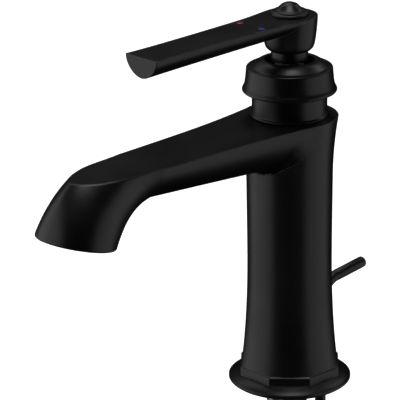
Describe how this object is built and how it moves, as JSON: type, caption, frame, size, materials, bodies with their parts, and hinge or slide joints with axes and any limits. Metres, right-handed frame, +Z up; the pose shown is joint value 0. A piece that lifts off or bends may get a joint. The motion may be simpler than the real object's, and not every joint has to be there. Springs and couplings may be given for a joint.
{
  "type": "bathroom mixer faucet",
  "caption": "Single-lever basin mixer with an octagonal foot, flared column, flat-topped spout, bell bonnet and pop-up lift rod.",
  "frame": {"origin": "Column axis at the underside of the base gasket, where the faucet meets the deck", "axes": "+Z up along the column axis, spout and lever point along -Y, lift rod is at the back on +Y"},
  "size_m": [0.055, 0.1896, 0.2281],
  "materials": {
    "black_finish": "satin black coating on brass",
    "rubber": "matt",
    "plastic_grey": "moulded",
    "plastic_ivory": "moulded",
    "plastic_red": "moulded",
    "ceramic": "lapped",
    "brass": "machined",
    "steel": "zinc plated",
    "mark_red": "glossy enamel",
    "mark_blue": "glossy enamel"
  },
  "bodies": {
    "body": {"spout_body": "black_finish", "base_flange": "black_finish", "base_gasket": "rubber", "rod_guide": "plastic_grey", "body_collar": "black_finish", "bonnet_bell": "black_finish", "cartridge_nut": "brass", "cartridge_housing": "plastic_ivory", "cartridge_base": "plastic_grey", "port_seals": "rubber", "ceramic_fixed_disc": "ceramic", "temperature_stop": "plastic_red", "aerator_housing": "black_finish", "aerator_insert": "plastic_grey", "aerator_washer": "rubber", "mounting_stud": "steel", "horseshoe_gasket": "rubber", "horseshoe_plate": "steel", "stud_nut": "brass"},
    "rotor": {"cartridge_rotor": "plastic_grey", "stem_pin": "steel"},
    "disc": {"disc_carrier": "plastic_grey", "ceramic_moving_disc": "ceramic"},
    "lever": {"cartridge_stem": "brass", "stem_adapter": "plastic_grey", "handle_neck": "black_finish", "lever_handle": "black_finish", "handle_screw": "steel", "finial_cap": "black_finish", "hot_mark": "mark_red", "cold_mark": "mark_blue"},
    "rod": {"lift_rod": "black_finish"}
  },
  "joints": [
    {"name": "temperature_turn", "type": "hinge", "parent": "body", "child": "rotor", "pos_m": [0, 0, 0.1455], "axis": [0, 0, 1], "range_deg": [-45, 45]},
    {"name": "flow_tilt", "type": "hinge", "parent": "rotor", "child": "lever", "pos_m": [0, 0, 0.1455], "axis": [-1, 0, 0], "range_deg": [0, 20]},
    {"name": "disc_slide", "type": "slide", "parent": "rotor", "child": "disc", "axis": [0, -1, 0], "range_m": [0, 0.0059]},
    {"name": "rod_lift", "type": "slide", "parent": "body", "child": "rod", "axis": [0, 0, 1], "range_m": [0, 0.012]}
  ],
  "couplings": [
    {"joint": "disc_slide", "follows": "flow_tilt", "m_per_rad": 0.0167}
  ]
}
